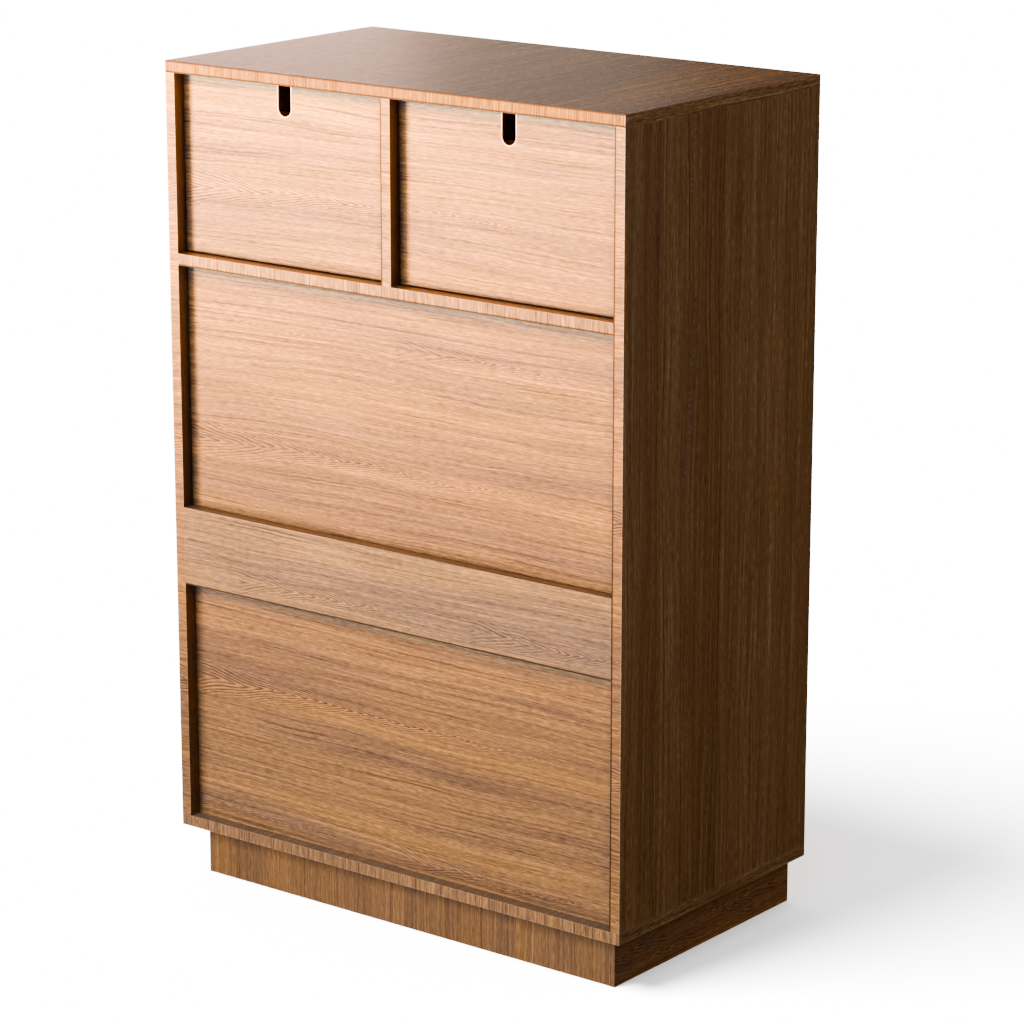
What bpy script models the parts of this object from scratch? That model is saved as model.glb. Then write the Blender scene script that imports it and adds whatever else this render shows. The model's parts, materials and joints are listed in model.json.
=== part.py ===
"""A tall dresser: two small drawers over three wide drawers, in a boarded carcass on a mitred plinth.

X is the width, -Y is the drawer side, +Y is the back and +Z is up. The origin is on the floor, under
the middle. The back is finished like the rest: its thin panels lie inside the edges of the boards
round them, a wide rail crosses the lower bay, and the two upper panels have a cable slot each.
"""

from collections import namedtuple
from math import cos, pi, radians, sin, sqrt

import bmesh
import bpy

# Carcass, in metres
CARCASS_WIDTH = 0.900
CARCASS_DEPTH = 0.508
CARCASS_HEIGHT = 1.274
BOARD = 0.019
SMALL_OPENING_HEIGHT = 0.289
JOINT_GAP = 0.0003

# Plinth frame under the carcass
PLINTH_HEIGHT = 0.085
PLINTH_BOARD = 0.019
PLINTH_SIDE_INSET = 0.031
PLINTH_BACK_INSET = 0.031
CORNER_BLOCK_LEG = 0.060
CORNER_BLOCK_LIFT = 0.005

# Back: thin panels in grooves, and the rail behind them
BACK_RECESS = 0.0225
BACK_PANEL = 0.004
BACK_HOUSING = 0.006
BACK_SHADOW_GAP = 0.002
BACK_RAIL_HEIGHT = 0.129
BACK_RAIL_THICKNESS = 0.019
CABLE_SLOT_WIDTH = 0.0255
CABLE_SLOT_DEPTH = 0.052
SLOT_ARC_STEPS = 20

# Rails between the wide drawers
WIDE_DRAWERS = 3
FRONT_RAIL_HEIGHT = 0.019
FRONT_RAIL_DEPTH = 0.060

# Drawer fronts, set in flush with the carcass
FRONT_BOARD = 0.019
FRONT_REVEAL = 0.0025
FINGER_GAP = 0.018
FINGER_BEVEL = 0.011

# Drawer boxes
BOX_SIDE_GAP = 0.003
BOX_SIDE = 0.014
BOX_BACK = 0.012
BOX_FLOOR_CLEARANCE = 0.010
BOX_TOP_DROP = 0.030
BOX_REAR_CLEARANCE = 0.015
DRAWER_BOTTOM = 0.006
DRAWER_BOTTOM_RISE = 0.012
DRAWER_BOTTOM_HOUSING = 0.005
BOTTOM_BAR_WIDTH = 0.060

# Runners, fixed to the carcass, in grooves of the drawer sides
RUNNER_HEIGHT = 0.018
RUNNER_RISE = 0.100
RUNNER_GROOVE_DEPTH = 0.0075
RUNNER_SIDE_PLAY = 0.0008
RUNNER_UNDER_PLAY = 0.0012
RUNNER_SETBACK = 0.025

# How far a cutter reaches past the face that it opens
OVERCUT = 0.010

# Linear colours, roughness
FINISHES = {
    "veneer_top": ((0.300, 0.165, 0.092), 0.42),
    "veneer_upright": ((0.285, 0.145, 0.070), 0.45),
    "veneer_back": ((0.340, 0.180, 0.090), 0.45),
    "veneer_plinth": ((0.270, 0.135, 0.066), 0.48),
    "veneer_front": ((0.320, 0.165, 0.082), 0.42),
    "birch_ply": ((0.640, 0.470, 0.300), 0.50),
    "hardwood": ((0.520, 0.360, 0.210), 0.45),
}

HALF_WIDTH = CARCASS_WIDTH / 2
INNER_HALF_WIDTH = HALF_WIDTH - BOARD
FRONT_Y = -CARCASS_DEPTH / 2
BACK_Y = CARCASS_DEPTH / 2
BASE_Z = PLINTH_HEIGHT
FLOOR_Z = BASE_Z + BOARD
TOP_Z = BASE_Z + CARCASS_HEIGHT
CEILING_Z = TOP_Z - BOARD
SHELF_TOP_Z = CEILING_Z - SMALL_OPENING_HEIGHT
SHELF_UNDER_Z = SHELF_TOP_Z - BOARD
PANEL_OUTER_Y = BACK_Y - BACK_RECESS
PANEL_INNER_Y = PANEL_OUTER_Y - BACK_PANEL
BOX_REAR_Y = PANEL_INNER_Y - BOX_REAR_CLEARANCE
FRONT_REAR_Y = FRONT_Y + FRONT_BOARD
RUNNER_START_Y = FRONT_REAR_Y + RUNNER_SETBACK

Opening = namedtuple("Opening", "name left right bottom top")


def clear_scene():
    for obj in list(bpy.data.objects):
        bpy.data.objects.remove(obj, do_unlink=True)


def new_collection(name):
    collection = bpy.data.collections.new(name)
    bpy.context.scene.collection.children.link(collection)
    return collection


clear_scene()
PARTS = new_collection("dresser")
CUTTERS = new_collection("dresser_cutters")
CUTTERS.hide_render = True


def add_finish(obj, finish):
    """Gives the object a Principled material of its own, in the finish's colour and roughness."""
    colour, roughness = FINISHES[finish]
    material = bpy.data.materials.new(f"{obj.name}_{finish}")
    material.use_nodes = True
    shader = material.node_tree.nodes["Principled BSDF"]
    shader.inputs["Base Color"].default_value = (*colour, 1.0)
    shader.inputs["Roughness"].default_value = roughness
    shader.inputs["Metallic"].default_value = 0.0
    material.diffuse_color = (*colour, 1.0)
    obj.data.materials.append(material)


def hang_on(obj, parent):
    """Parents the object without moving it."""
    if parent is not None:
        obj.parent = parent
        obj.matrix_parent_inverse = parent.matrix_world.inverted()


def block(name, low, high, collection):
    """A box between two corners, with its origin at its middle."""
    size = [b - a for a, b in zip(low, high)]
    mesh = bpy.data.meshes.new(name)
    shape = bmesh.new()
    bmesh.ops.create_cube(shape, size=1.0)
    bmesh.ops.scale(shape, vec=size, verts=shape.verts)
    shape.to_mesh(mesh)
    shape.free()
    obj = bpy.data.objects.new(name, mesh)
    obj.location = [(a + b) / 2 for a, b in zip(low, high)]
    collection.objects.link(obj)
    return obj


def board(name, low, high, finish, parent=None):
    obj = block(name, low, high, PARTS)
    add_finish(obj, finish)
    bpy.context.view_layer.update()
    hang_on(obj, parent)
    return obj


def groove(obj, label, low, high):
    """Cuts the box between two corners out of the object."""
    cutter = block(f"cut_{obj.name}_{label}", low, high, CUTTERS)
    cutter.hide_render = True
    cutter.display_type = "WIRE"
    bpy.context.view_layer.update()
    hang_on(cutter, obj.parent)
    cut = obj.modifiers.new(label, "BOOLEAN")
    cut.operation = "DIFFERENCE"
    cut.solver = "EXACT"
    cut.object = cutter


def plate(name, outline, thickness, location, rotation, finish):
    """A flat outline in the object's own XY plane, as thick as asked on both sides of it together."""
    curve = bpy.data.curves.new(name, "CURVE")
    curve.dimensions = "2D"
    curve.fill_mode = "BOTH"
    curve.extrude = thickness / 2
    spline = curve.splines.new("POLY")
    spline.points.add(len(outline) - 1)
    for point, (x, y) in zip(spline.points, outline):
        point.co = (x, y, 0.0, 1.0)
    spline.use_cyclic_u = True
    obj = bpy.data.objects.new(name, curve)
    obj.location = location
    obj.rotation_euler = rotation
    PARTS.objects.link(obj)
    add_finish(obj, finish)
    return obj


def build_carcass():
    board(
        "bottom_panel",
        (-HALF_WIDTH, FRONT_Y, BASE_Z),
        (HALF_WIDTH, BACK_Y, FLOOR_Z),
        "veneer_upright",
    )
    board(
        "top_panel",
        (-HALF_WIDTH, FRONT_Y, CEILING_Z),
        (HALF_WIDTH, BACK_Y, TOP_Z),
        "veneer_top",
    )
    for side, sign in (("left", -1), ("right", 1)):
        across = sorted((sign * INNER_HALF_WIDTH, sign * HALF_WIDTH))
        board(
            f"side_panel_{side}",
            (across[0], FRONT_Y, FLOOR_Z + JOINT_GAP),
            (across[1], BACK_Y, CEILING_Z - JOINT_GAP),
            "veneer_upright",
        )
    reach = INNER_HALF_WIDTH - JOINT_GAP
    board(
        "upper_shelf",
        (-reach, FRONT_Y, SHELF_UNDER_Z),
        (reach, BACK_Y, SHELF_TOP_Z),
        "veneer_upright",
    )
    board(
        "centre_divider",
        (-BOARD / 2, FRONT_Y, SHELF_TOP_Z + JOINT_GAP),
        (BOARD / 2, BACK_Y, CEILING_Z - JOINT_GAP),
        "veneer_upright",
    )


def groove_for_back():
    """The boards round the back panels hold their edges in grooves."""
    near, far = PANEL_INNER_Y - JOINT_GAP, PANEL_OUTER_Y + JOINT_GAP
    inner, outer = INNER_HALF_WIDTH - OVERCUT, INNER_HALF_WIDTH + BACK_HOUSING
    parts = bpy.data.objects
    for side, sign in (("left", -1), ("right", 1)):
        across = sorted((sign * inner, sign * outer))
        groove(
            parts[f"side_panel_{side}"],
            "back_groove",
            (across[0], near, BASE_Z),
            (across[1], far, TOP_Z),
        )
        half = BOARD / 2
        across = sorted((sign * (half - BACK_HOUSING), sign * (half + OVERCUT)))
        groove(
            parts["centre_divider"],
            f"back_groove_{side}",
            (across[0], near, SHELF_UNDER_Z),
            (across[1], far, TOP_Z),
        )
    groove(
        parts["top_panel"],
        "back_groove",
        (-outer, near, CEILING_Z - OVERCUT),
        (outer, far, CEILING_Z + BACK_HOUSING),
    )
    groove(
        parts["bottom_panel"],
        "back_groove",
        (-outer, near, FLOOR_Z - BACK_HOUSING),
        (outer, far, FLOOR_Z + OVERCUT),
    )
    groove(
        parts["upper_shelf"],
        "back_groove",
        (-outer, near, SHELF_UNDER_Z - OVERCUT),
        (outer, far, SHELF_UNDER_Z + BACK_HOUSING),
    )


def slotted_outline(half_width, height, slot_floor):
    """An upright panel's outline from its lower edge, with a round-bottomed slot open at the top."""
    radius = CABLE_SLOT_WIDTH / 2
    outline = [(-half_width, 0.0), (half_width, 0.0), (half_width, height)]
    outline.append((radius, height))
    for step in range(SLOT_ARC_STEPS + 1):
        turn = pi * step / SLOT_ARC_STEPS
        outline.append((radius * cos(turn), slot_floor + radius - radius * sin(turn)))
    outline += [(-radius, height), (-half_width, height)]
    return outline


def build_back():
    seat = BACK_HOUSING - JOINT_GAP
    middle_y = (PANEL_INNER_Y + PANEL_OUTER_Y) / 2
    reach = INNER_HALF_WIDTH + seat
    board(
        "back_panel_main",
        (-reach, PANEL_INNER_Y, FLOOR_Z - seat),
        (reach, PANEL_OUTER_Y, SHELF_UNDER_Z + seat),
        "veneer_back",
    )
    foot = SHELF_TOP_Z + BACK_SHADOW_GAP
    inner = BOARD / 2 - seat
    outline = slotted_outline(
        (reach - inner) / 2,
        CEILING_Z + seat - foot,
        CEILING_Z - CABLE_SLOT_DEPTH - foot,
    )
    for side, sign in (("left", -1), ("right", 1)):
        plate(
            f"back_panel_upper_{side}",
            outline,
            BACK_PANEL,
            (sign * (reach + inner) / 2, middle_y, foot),
            (radians(90), 0, 0),
            "veneer_back",
        )
    rail_middle = (FLOOR_Z + SHELF_UNDER_Z) / 2
    rail_reach = INNER_HALF_WIDTH - JOINT_GAP
    board(
        "back_rail",
        (-rail_reach, BACK_Y - BACK_RAIL_THICKNESS, rail_middle - BACK_RAIL_HEIGHT / 2),
        (rail_reach, BACK_Y, rail_middle + BACK_RAIL_HEIGHT / 2),
        "veneer_back",
    )


def mitred_outline(length):
    """A plinth board seen from above: its outer edge along X, its ends cut at 45 degrees."""
    trim = JOINT_GAP / sqrt(2)
    outer = length / 2 - trim
    inner = outer - PLINTH_BOARD
    return [(-outer, 0), (outer, 0), (inner, PLINTH_BOARD), (-inner, PLINTH_BOARD)]


def build_plinth():
    half_width = HALF_WIDTH - PLINTH_SIDE_INSET
    back_y = BACK_Y - PLINTH_BACK_INSET
    middle_y = (FRONT_Y + back_y) / 2
    depth = back_y - FRONT_Y
    height = PLINTH_HEIGHT - JOINT_GAP
    frame = (
        ("front", 2 * half_width, (0, FRONT_Y), 0),
        ("right", depth, (half_width, middle_y), 90),
        ("back", 2 * half_width, (0, back_y), 180),
        ("left", depth, (-half_width, middle_y), 270),
    )
    for side, length, (x, y), turn in frame:
        plate(
            f"plinth_{side}",
            mitred_outline(length),
            height,
            (x, y, height / 2),
            (0, 0, radians(turn)),
            "veneer_plinth",
        )
    seat = PLINTH_BOARD + JOINT_GAP
    corner_x, front_y, rear_y = half_width - seat, FRONT_Y + seat, back_y - seat
    corners = (
        ("front_left", (-corner_x, front_y), 0),
        ("front_right", (corner_x, front_y), 90),
        ("back_right", (corner_x, rear_y), 180),
        ("back_left", (-corner_x, rear_y), 270),
    )
    leg = CORNER_BLOCK_LEG
    block_height = height - CORNER_BLOCK_LIFT
    for corner, (x, y), turn in corners:
        plate(
            f"corner_block_{corner}",
            [(0, 0), (leg, 0), (0, leg)],
            block_height,
            (x, y, CORNER_BLOCK_LIFT + block_height / 2),
            (0, 0, radians(turn)),
            "hardwood",
        )


def drawer_openings():
    """The five spaces between the boards, each with its drawer's name."""
    half = BOARD / 2
    openings = [
        Opening("small_drawer_left", -INNER_HALF_WIDTH, -half, SHELF_TOP_Z, CEILING_Z),
        Opening("small_drawer_right", half, INNER_HALF_WIDTH, SHELF_TOP_Z, CEILING_Z),
    ]
    bay = SHELF_UNDER_Z - FLOOR_Z
    height = (bay - (WIDE_DRAWERS - 1) * FRONT_RAIL_HEIGHT) / WIDE_DRAWERS
    names = ("top", "middle", "bottom", "fourth", "fifth", "sixth")
    for row in range(WIDE_DRAWERS):
        top = SHELF_UNDER_Z - row * (height + FRONT_RAIL_HEIGHT)
        name = f"wide_drawer_{names[row]}"
        span = (-INNER_HALF_WIDTH, INNER_HALF_WIDTH)
        openings.append(Opening(name, *span, top - height, top))
    return openings


def build_front_rails(openings):
    reach = INNER_HALF_WIDTH - JOINT_GAP
    wide = [opening for opening in openings if opening.name.startswith("wide")]
    for above, below in zip(wide, wide[1:]):
        board(
            f"front_rail_under_{above.name.removeprefix('wide_drawer_')}_drawer",
            (-reach, FRONT_Y, below.top),
            (reach, FRONT_Y + FRONT_RAIL_DEPTH, above.bottom),
            "veneer_upright",
        )


def bevel_top_rear_edge(obj):
    """Slants the front's top rear edge, so that fingers hook over it."""
    shape = bmesh.new()
    shape.from_mesh(obj.data)
    top = max(vert.co.z for vert in shape.verts)
    rear = max(vert.co.y for vert in shape.verts)
    edges = [
        edge
        for edge in shape.edges
        if all(abs(v.co.z - top) + abs(v.co.y - rear) < JOINT_GAP for v in edge.verts)
    ]
    bmesh.ops.bevel(
        shape, geom=edges, offset=FINGER_BEVEL, segments=1, affect="EDGES"
    )
    shape.to_mesh(obj.data)
    shape.free()


def build_drawer(opening):
    """Front, two sides, back and bottom, parented to an empty on the drawer's line of travel."""
    name, left, right, bottom, top = opening
    mover = bpy.data.objects.new(f"{name}_mover", None)
    mover.location = ((left + right) / 2, FRONT_Y, (bottom + top) / 2)
    PARTS.objects.link(mover)
    bpy.context.view_layer.update()

    front_top = top - FINGER_GAP
    side_low, side_high = bottom + BOX_FLOOR_CLEARANCE, front_top - BOX_TOP_DROP
    side_start = FRONT_REAR_Y + JOINT_GAP
    box_left, box_right = left + BOX_SIDE_GAP, right - BOX_SIDE_GAP
    inner_left, inner_right = box_left + BOX_SIDE, box_right - BOX_SIDE
    panel_low = side_low + DRAWER_BOTTOM_RISE
    panel_high = panel_low + DRAWER_BOTTOM
    seat = DRAWER_BOTTOM_HOUSING
    slot_low, slot_high = panel_low - JOINT_GAP, panel_high + JOINT_GAP

    front = board(
        f"{name}_front",
        (left + FRONT_REVEAL, FRONT_Y, bottom + FRONT_REVEAL),
        (right - FRONT_REVEAL, FRONT_REAR_Y, front_top),
        "veneer_front",
        mover,
    )
    bevel_top_rear_edge(front)
    groove(
        front,
        "bottom_groove",
        (inner_left - seat, FRONT_REAR_Y - seat, slot_low),
        (inner_right + seat, FRONT_REAR_Y + OVERCUT, slot_high),
    )

    ceiling = side_low + RUNNER_RISE + RUNNER_HEIGHT + JOINT_GAP
    runner_slot = (side_low + RUNNER_RISE - RUNNER_UNDER_PLAY, ceiling)
    for side, outer, inner, sign in (
        ("left", box_left, inner_left, 1),
        ("right", box_right, inner_right, -1),
    ):
        across = sorted((outer, inner))
        panel = board(
            f"{name}_side_{side}",
            (across[0], side_start, side_low),
            (across[1], BOX_REAR_Y, side_high),
            "birch_ply",
            mover,
        )
        across = sorted((inner - sign * seat, inner + sign * OVERCUT))
        groove(
            panel,
            "bottom_groove",
            (across[0], side_start - OVERCUT, slot_low),
            (across[1], BOX_REAR_Y + OVERCUT, slot_high),
        )
        across = sorted((outer - sign * OVERCUT, outer + sign * RUNNER_GROOVE_DEPTH))
        groove(
            panel,
            "runner_groove",
            (across[0], RUNNER_START_Y, runner_slot[0]),
            (across[1], BOX_REAR_Y + OVERCUT, runner_slot[1]),
        )

    board(
        f"{name}_bottom",
        (inner_left - seat + JOINT_GAP, FRONT_REAR_Y - seat + JOINT_GAP, panel_low),
        (inner_right + seat - JOINT_GAP, BOX_REAR_Y, panel_high),
        "birch_ply",
        mover,
    )
    board(
        f"{name}_back",
        (inner_left + JOINT_GAP, BOX_REAR_Y - BOX_BACK, panel_high + JOINT_GAP),
        (inner_right - JOINT_GAP, BOX_REAR_Y, side_high),
        "birch_ply",
        mover,
    )
    if name.startswith("wide"):
        middle = (left + right) / 2
        board(
            f"{name}_bottom_bar",
            (middle - BOTTOM_BAR_WIDTH / 2, side_start, side_low),
            (middle + BOTTOM_BAR_WIDTH / 2, BOX_REAR_Y, panel_low - JOINT_GAP),
            "hardwood",
            mover,
        )


def build_runners(opening):
    """Two strips fixed to the uprights. Their front ends stop the drawer when it is shut."""
    name, left, right, bottom, _ = opening
    low = bottom + BOX_FLOOR_CLEARANCE + RUNNER_RISE
    reach = BOX_SIDE_GAP + RUNNER_GROOVE_DEPTH - RUNNER_SIDE_PLAY
    for side, face, sign in (("left", left, 1), ("right", right, -1)):
        across = sorted((face + sign * JOINT_GAP, face + sign * reach))
        board(
            f"{name}_runner_{side}",
            (across[0], RUNNER_START_Y + JOINT_GAP, low),
            (across[1], BOX_REAR_Y, low + RUNNER_HEIGHT),
            "hardwood",
        )


def build_dresser():
    build_carcass()
    build_back()
    groove_for_back()
    build_plinth()
    openings = drawer_openings()
    build_front_rails(openings)
    for opening in openings:
        build_drawer(opening)
        build_runners(opening)


build_dresser()
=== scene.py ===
"""Looks for a tall veneered dresser: two small drawers over three wide ones, with a finished back.

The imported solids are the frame. Each board, drawer part and runner is dressed as its own piece,
with eased edges and a grain map in metres, so that the veneer runs as it was laid: along the back
panels and the drawer fronts, upright on the sides, and crosswise on the edges of the case boards.
"""

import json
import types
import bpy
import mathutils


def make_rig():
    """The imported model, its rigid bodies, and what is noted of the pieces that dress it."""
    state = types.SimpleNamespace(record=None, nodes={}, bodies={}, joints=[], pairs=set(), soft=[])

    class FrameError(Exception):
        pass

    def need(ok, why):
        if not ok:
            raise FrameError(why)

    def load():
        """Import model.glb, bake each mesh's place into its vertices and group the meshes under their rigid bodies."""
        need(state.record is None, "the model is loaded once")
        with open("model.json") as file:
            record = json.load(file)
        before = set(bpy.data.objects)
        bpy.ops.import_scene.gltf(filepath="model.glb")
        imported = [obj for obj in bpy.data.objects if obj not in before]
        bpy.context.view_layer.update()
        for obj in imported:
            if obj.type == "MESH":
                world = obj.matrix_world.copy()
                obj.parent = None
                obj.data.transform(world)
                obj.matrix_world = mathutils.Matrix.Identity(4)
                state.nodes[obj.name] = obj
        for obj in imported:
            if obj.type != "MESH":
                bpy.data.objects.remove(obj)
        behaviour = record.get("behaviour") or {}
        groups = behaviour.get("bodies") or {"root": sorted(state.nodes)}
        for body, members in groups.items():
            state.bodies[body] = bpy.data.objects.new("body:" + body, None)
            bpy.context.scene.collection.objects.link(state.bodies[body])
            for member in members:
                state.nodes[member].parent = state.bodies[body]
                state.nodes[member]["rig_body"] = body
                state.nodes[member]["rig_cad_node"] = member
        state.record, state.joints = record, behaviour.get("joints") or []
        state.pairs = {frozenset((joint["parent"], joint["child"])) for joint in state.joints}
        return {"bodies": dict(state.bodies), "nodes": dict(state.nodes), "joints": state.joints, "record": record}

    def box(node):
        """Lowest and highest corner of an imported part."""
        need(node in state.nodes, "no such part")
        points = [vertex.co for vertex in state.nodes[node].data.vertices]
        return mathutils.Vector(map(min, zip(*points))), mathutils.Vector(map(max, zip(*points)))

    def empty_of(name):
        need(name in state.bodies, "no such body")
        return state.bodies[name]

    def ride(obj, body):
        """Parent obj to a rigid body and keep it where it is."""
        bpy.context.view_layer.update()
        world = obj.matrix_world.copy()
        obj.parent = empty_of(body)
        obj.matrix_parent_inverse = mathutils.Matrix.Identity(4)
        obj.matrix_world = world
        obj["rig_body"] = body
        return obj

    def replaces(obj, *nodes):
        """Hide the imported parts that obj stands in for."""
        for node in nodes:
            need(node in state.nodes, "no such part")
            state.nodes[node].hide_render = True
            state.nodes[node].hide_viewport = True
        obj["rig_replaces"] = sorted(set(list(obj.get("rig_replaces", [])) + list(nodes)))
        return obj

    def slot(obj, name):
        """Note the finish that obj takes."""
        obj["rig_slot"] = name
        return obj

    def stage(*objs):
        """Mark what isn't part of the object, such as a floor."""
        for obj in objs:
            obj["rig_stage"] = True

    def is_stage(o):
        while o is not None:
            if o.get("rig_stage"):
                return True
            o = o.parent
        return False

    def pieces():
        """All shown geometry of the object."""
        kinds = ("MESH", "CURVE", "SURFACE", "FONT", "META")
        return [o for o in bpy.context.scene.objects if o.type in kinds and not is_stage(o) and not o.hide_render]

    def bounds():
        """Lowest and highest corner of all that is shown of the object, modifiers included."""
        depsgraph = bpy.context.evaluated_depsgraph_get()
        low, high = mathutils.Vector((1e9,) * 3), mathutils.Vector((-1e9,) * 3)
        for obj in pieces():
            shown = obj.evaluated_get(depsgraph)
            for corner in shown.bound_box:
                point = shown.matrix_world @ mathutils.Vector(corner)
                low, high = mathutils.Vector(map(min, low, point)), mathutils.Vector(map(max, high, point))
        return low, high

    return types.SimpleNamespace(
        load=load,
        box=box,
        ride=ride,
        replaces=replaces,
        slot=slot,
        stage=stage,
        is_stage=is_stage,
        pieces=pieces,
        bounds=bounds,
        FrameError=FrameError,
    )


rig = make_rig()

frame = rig.load()
CAD_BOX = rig.bounds()

import json
import math

import bmesh
import bpy
from mathutils import Vector

bl_info = {
    "name": "Veneered Dresser",
    "version": (1, 0, 0),
    "blender": (4, 5, 0),
    "location": "View3D > Sidebar > Dresser",
    "description": "Dresses the solids of a five-drawer dresser and sets its studio",
    "category": "Object",
}

X, Y, Z = range(3)
DRAWERS = [name for name in frame["bodies"] if name != "carcass"]
WIDE_DRAWERS = [name for name in DRAWERS if name.startswith("wide")]
SLOT_WIDTH, SLOT_DEPTH = 0.0255, 0.052  # metres, as cut in the upper back panels
SHARP = math.radians(25)  # faces that meet at more than this have an edge to ease
TOUCH = 1e-4  # metres: points closer than this are in the same place
AWAY = 1.0  # metres: further than any border's rub or line reaches
SHADOW = (0.05, 0.022, 0.012)  # colour of the fine lines beside a recess
GLUE, RAY = (0.12, 0.06, 0.03), (0.23, 0.11, 0.05)  # colours in the plywood and the beech
BEECH = ("waxed_beech",) * 2  # on a piece's wide faces and on its edges


# Settings that a user would change

def a_colour(label, what, usual, most=1):
    """A colour, whose parts go from 0 to most."""
    return bpy.props.FloatVectorProperty(
        name=label, description=what, subtype="COLOR", default=usual, min=0, max=most)


def a_length(label, what, usual, least, most):
    """A length in metres."""
    return bpy.props.FloatProperty(
        name=label, description=what, unit="LENGTH", default=usual, min=least, max=most)


def an_angle(label, what, degrees):
    """An angle, given in degrees."""
    return bpy.props.FloatProperty(
        name=label, description=what, subtype="ANGLE", default=math.radians(degrees))


def a_power(label, what, usual):
    """The power of a light."""
    return bpy.props.FloatProperty(
        name=label, description=what, subtype="POWER", default=usual, min=0)


class DresserFinish(bpy.types.PropertyGroup):
    """Colours of the woods and the sizes of the veneer's figure."""

    deep: a_colour(
        "Veneer deep", "Colour of the darkest lines in the veneer", (0.155, 0.060, 0.024))
    brown: a_colour("Veneer brown", "Main colour of the veneer", (0.330, 0.137, 0.047))
    honey: a_colour(
        "Veneer honey", "Colour of the light strokes in the veneer", (0.640, 0.250, 0.078))
    plum: a_colour(
        "Plum", "What the veneer is multiplied by in its cool bands", (0.80, 0.84, 1.07), most=2)
    amber: a_colour(
        "Amber", "What the veneer is multiplied by in its warm bands", (1.26, 1.19, 0.90), most=2)
    # also the colour of the painted highlight round the slots
    worn_and_glint: a_colour(
        "Worn edge", "Colour of the veneer where its edges are rubbed pale", (0.92, 0.66, 0.44))
    birch: a_colour("Birch", "Colour of the drawer boxes' plywood", (0.680, 0.500, 0.310))
    beech: a_colour(
        "Beech", "Colour of the runners, corner blocks and bars", (0.560, 0.340, 0.180))
    row_spacing: a_length(
        "Figure row spacing", "Height between the rows of nested arches on the back",
        0.408, 0.05, 1)
    row_height: a_length(
        "Figure row height", "Height of the lowest row of nested arches", 0.346, 0, 1)
    arch_run: a_length("Arch run", "Length of one run of nested arches", 0.860, 0.05, 2)
    outer_round: a_length(
        "Outer edge", "How far the exposed edges are eased", 0.0008, 0.0001, 0.003)
    joint_round: a_length(
        "Joint edge", "How far edges that meet another board are eased", 0.0002, 0.00005, 0.001)


class DresserScrews(bpy.types.PropertyGroup):
    """Sizes of the countersunk screws in the runners and the corner blocks."""

    head: a_length("Head", "Diameter of a screw's head", 0.0072, 0.002, 0.015)
    proud: a_length("Proud", "How far a head stands out of the wood", 0.0003, 0.0001, 0.0006)
    per_runner: bpy.props.IntProperty(
        name="Screws per runner", description="How many screws hold one runner",
        default=3, min=2, max=6)
    end_distance: a_length(
        "End distance", "From a runner's end to its first screw", 0.035, 0.01, 0.1)


class DresserStage(bpy.types.PropertyGroup):
    """The camera's place and the strength of the lights."""

    camera_place: bpy.props.FloatVectorProperty(
        name="Camera", description="Where the camera stands", subtype="TRANSLATION",
        default=(-3.620, 4.593, 2.202))
    azimuth: an_angle("Azimuth", "The side that the camera stands on; 0 looks along +Y", 217.888)
    elevation: an_angle("Elevation", "How far the camera looks down", 14.938)
    lens: bpy.props.FloatProperty(
        name="Lens", description="Focal length in millimetres", default=132.55, min=10, max=400)
    key: a_power("Key", "Power of the low key light", 190000)
    fill: a_power("Fill", "Power of the flat fill on the back", 220)
    sheen: a_power("Sheen", "Power of the soft box that the top panel reflects", 61)
    side: a_power("Side", "Power of the soft box on the visible side", 36)
    over: a_power("Over", "Power of the soft box overhead", 10.4)
    front: a_power("Front", "Power of the soft box on the drawer side", 220)
    room: bpy.props.FloatProperty(
        name="Room", description="Strength of the light from all round", default=0.08, min=0)


# Node trees

def worked(operation, swapped=False):
    """A method that works out a level with another level or number in one Math node."""
    def method(self, other):
        return self.tree.math(operation, *((other, self) if swapped else (self, other)))
    return method


class Level:
    """One output of a node. Arithmetic with it adds Math nodes to its tree."""

    def __init__(self, tree, socket):
        self.tree, self.socket = tree, socket

    __add__, __radd__ = worked("ADD"), worked("ADD", swapped=True)
    __sub__, __rsub__ = worked("SUBTRACT"), worked("SUBTRACT", swapped=True)
    __mul__, __truediv__ = worked("MULTIPLY"), worked("DIVIDE")


class Outputs:
    """A node's outputs as levels, by number or by name."""

    def __init__(self, tree, node):
        self.tree, self.node = tree, node

    def __getitem__(self, key):
        return Level(self.tree, self.node.outputs[key])

    def __iter__(self):
        return (Level(self.tree, socket) for socket in self.node.outputs)


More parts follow.
